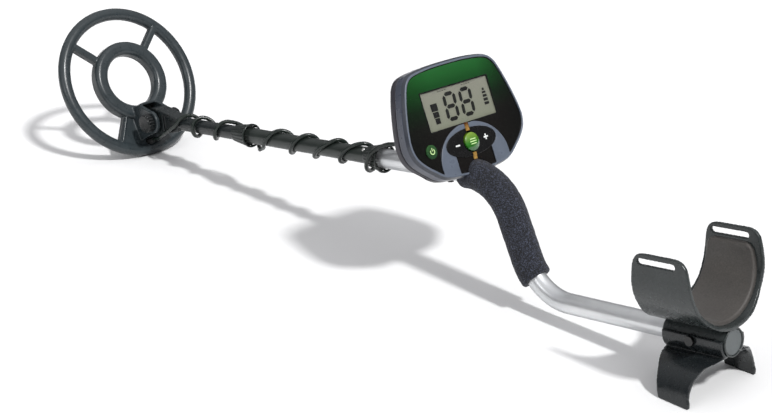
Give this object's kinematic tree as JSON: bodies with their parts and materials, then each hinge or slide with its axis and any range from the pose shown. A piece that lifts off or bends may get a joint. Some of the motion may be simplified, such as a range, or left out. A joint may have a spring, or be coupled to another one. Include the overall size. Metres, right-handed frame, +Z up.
{
  "type": "metal detector",
  "caption": "Metal detector with an open round search coil on a telescoping bent shaft, a display housing, a foam grip, and a padded arm cup on a stand.",
  "frame": {"origin": "on the floor, at the middle of the whole object's box", "axes": "+X from the arm cup to the coil, +Y to the user's left, +Z up"},
  "size_m": [1.0399, 0.2032, 0.2488],
  "materials": {
    "anodised_tube": "satin silver anodised",
    "painted_tube": "satin dark green-black powder coat",
    "spring_steel": "bright",
    "foam": "closed-cell foam, dull",
    "dark_nylon": "fine texture",
    "end_plug_grey": "satin",
    "coil_plastic": "satin",
    "copper": "enamelled wire",
    "black_rubber": "dull",
    "cup_plastic": "satin",
    "pad_felt": "felted",
    "bezel_plastic": "metallic satin",
    "rear_plastic": "satin",
    "panel_green": "printed film",
    "gold_plastic": "gold",
    "lcd_glass": "clear",
    "lcd_grey": "grey-green display",
    "board_green": "solder mask",
    "key_green": "gloss",
    "key_black": "satin",
    "battery_steel": "wrapped cells",
    "plug_metal": "nickel plate",
    "cable_jacket": "satin jacket"
  },
  "bodies": {
    "shaft": {"s_rod": "anodised_tube", "foam_grip": "foam", "tube_end_plug": "end_plug_grey", "middle_tube": "painted_tube", "lock_spring": "spring_steel", "upper_collet": "dark_nylon", "lower_collet": "dark_nylon", "arm_cup": "cup_plastic", "arm_pad": "pad_felt", "stand": "cup_plastic", "armrest_bolt": "spring_steel", "armrest_nut": "spring_steel", "housing_front": "bezel_plastic", "housing_rear": "rear_plastic", "housing_gasket": "black_rubber", "housing_screws": "spring_steel", "mounting_screws": "spring_steel", "face_panel": "panel_green", "gold_trim": "gold_plastic", "lcd_window": "lcd_glass", "lcd_module": "lcd_grey", "circuit_board": "board_green", "keypad_mat": "black_rubber", "speaker": "dark_nylon", "headphone_jack": "plug_metal", "battery": "battery_steel", "battery_clip": "dark_nylon", "coil_socket": "plug_metal", "cable_tube_wraps": "cable_jacket"},
    "lock_button": {"lock_button": "spring_steel"},
    "upper_collar": {"upper_collar": "dark_nylon"},
    "lower_collar": {"lower_collar": "dark_nylon"},
    "stem": {"lower_stem": "dark_nylon", "cable_stem_wraps": "cable_jacket"},
    "coil": {"coil_shell_upper": "coil_plastic", "coil_shell_lower": "coil_plastic", "coil_winding_outer": "copper", "coil_winding_inner": "copper", "coil_cable_gland": "black_rubber", "pivot_washers": "black_rubber", "pivot_bolt": "dark_nylon", "cable_coil_lead": "cable_jacket"},
    "knob_left": {"pivot_knob_left": "dark_nylon"},
    "knob_right": {"pivot_knob_right": "dark_nylon"},
    "power_button": {"power_button": "key_green"},
    "menu_button": {"menu_button": "key_green"},
    "minus_key": {"minus_key": "key_black"},
    "plus_key": {"plus_key": "key_black"},
    "battery_door": {"battery_door": "rear_plastic"},
    "cable_plug": {"cable_plug": "dark_nylon"},
    "plug_ring": {"plug_ring": "plug_metal"}
  },
  "joints": [
    {"name": "stem_slide", "type": "slide", "parent": "shaft", "child": "stem", "axis": [0.99, 0, -0.1409], "range_m": [0, 0.17], "deforming": ["cable_stem_wraps", "cable_coil_lead"]},
    {"name": "coil_tilt", "type": "hinge", "parent": "stem", "child": "coil", "pos_m": [0.39724, 0, 0.05189], "axis": [0, 1, 0], "range_deg": [-80, 70], "deforming": ["cable_coil_lead"]},
    {"name": "knob_left_turn", "type": "hinge", "parent": "coil", "child": "knob_left", "pos_m": [0.39724, 0.021, 0.05189], "axis": [0, 1, 0], "continuous": true},
    {"name": "knob_right_turn", "type": "hinge", "parent": "coil", "child": "knob_right", "pos_m": [0.39724, -0.021, 0.05189], "axis": [0, -1, 0], "continuous": true},
    {"name": "upper_collar_twist", "type": "hinge", "parent": "shaft", "child": "upper_collar", "pos_m": [-0.02115, 0, 0.11144], "axis": [0.99, 0, -0.1409], "range_deg": [0, 120]},
    {"name": "lower_collar_twist", "type": "hinge", "parent": "shaft", "child": "lower_collar", "pos_m": [0.22141, 0, 0.07692], "axis": [0.99, 0, -0.1409], "range_deg": [0, 120]},
    {"name": "lock_button_press", "type": "slide", "parent": "shaft", "child": "lock_button", "axis": [-0.1182, -0.5446, -0.8303], "range_m": [0, 0.0025], "stiffness_N_per_m": 1500, "springref_m": -0.002, "deforming": ["lock_spring"]},
    {"name": "power_button_press", "type": "slide", "parent": "shaft", "child": "power_button", "axis": [0.9033, 0, -0.4289], "range_m": [0, 0.0008], "stiffness_N_per_m": 600, "springref_m": -0.001},
    {"name": "menu_button_press", "type": "slide", "parent": "shaft", "child": "menu_button", "axis": [0.9033, 0, -0.4289], "range_m": [0, 0.0008], "stiffness_N_per_m": 600, "springref_m": -0.001},
    {"name": "minus_key_press", "type": "slide", "parent": "shaft", "child": "minus_key", "axis": [0.9033, 0, -0.4289], "range_m": [0, 0.0008], "stiffness_N_per_m": 600, "springref_m": -0.001},
    {"name": "plus_key_press", "type": "slide", "parent": "shaft", "child": "plus_key", "axis": [0.9033, 0, -0.4289], "range_m": [0, 0.0008], "stiffness_N_per_m": 600, "springref_m": -0.001},
    {"name": "battery_door_slide", "type": "slide", "parent": "shaft", "child": "battery_door", "axis": [0.4289, 0, 0.9033], "range_m": [0, 0.045]},
    {"name": "plug_pull", "type": "slide", "parent": "shaft", "child": "cable_plug", "axis": [0.9033, 0, -0.4289], "range_m": [0, 0.015], "deforming": ["cable_tube_wraps"]},
    {"name": "plug_ring_turn", "type": "hinge", "parent": "cable_plug", "child": "plug_ring", "pos_m": [-0.10962, 0, 0.15707], "axis": [0.9033, 0, -0.4289], "continuous": true}
  ]
}
